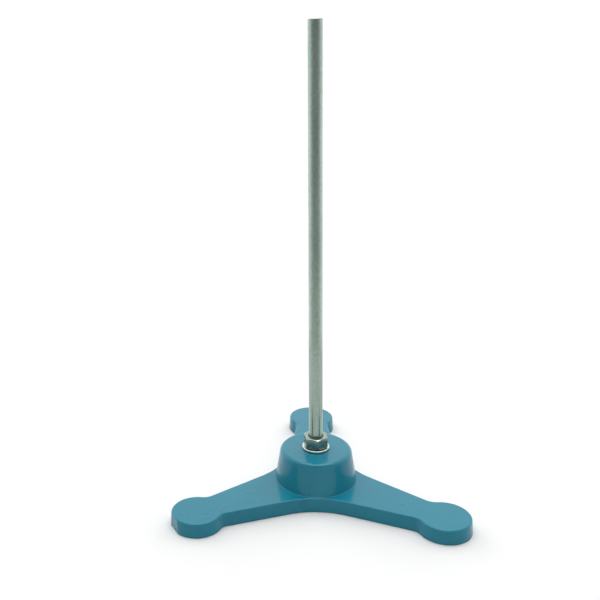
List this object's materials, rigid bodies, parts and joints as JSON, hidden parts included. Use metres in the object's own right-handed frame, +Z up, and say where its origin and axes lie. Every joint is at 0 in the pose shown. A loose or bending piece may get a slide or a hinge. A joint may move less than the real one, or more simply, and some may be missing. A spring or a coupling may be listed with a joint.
{
  "type": "retort stand",
  "caption": "Retort stand: a cast tripod base with round foot pads and a raised conical boss, carrying a plain round steel rod bolted through it by a nut and washers.",
  "frame": {"origin": "on the rod's axis, in the plane of the bench that the base stands on", "axes": "+Z up along the rod, +Y along the back leg, +X to the right as seen from between the two front legs"},
  "size_m": [0.2082, 0.1852, 0.343],
  "materials": {
    "base_enamel": "glossy teal-blue enamel",
    "rod_steel": "satin drawn steel",
    "zinc_plate": "bright zinc plate",
    "spring_steel": "dark oiled spring steel"
  },
  "bodies": {
    "base": {"base_casting": "base_enamel"},
    "upper_washer": {"upper_washer": "zinc_plate"},
    "rod": {"support_rod": "rod_steel", "upper_nut": "zinc_plate"},
    "lower_washers": {"lower_washer": "zinc_plate", "spring_washer": "spring_steel"},
    "lower_nut": {"lower_nut": "zinc_plate"}
  },
  "joints": [
    {"name": "rod_turn", "type": "hinge", "parent": "base", "child": "upper_washer", "pos_m": [0, 0, 0.0343], "axis": [0, 0, 1], "range_deg": [0, 2796]},
    {"name": "rod_rise", "type": "slide", "parent": "upper_washer", "child": "rod", "axis": [0, 0, 1], "range_m": [0, 0.01162]},
    {"name": "nut_turn", "type": "hinge", "parent": "base", "child": "lower_washers", "pos_m": [0, 0, 0.019], "axis": [0, 0, -1], "range_deg": [0, 2796]},
    {"name": "nut_travel", "type": "slide", "parent": "lower_washers", "child": "lower_nut", "axis": [0, 0, -1], "range_m": [0, 0.01162]}
  ],
  "couplings": [
    {"joint": "rod_turn", "follows": "rod_rise", "rad_per_m": 4188.8},
    {"joint": "nut_turn", "follows": "nut_travel", "rad_per_m": 4188.8}
  ]
}
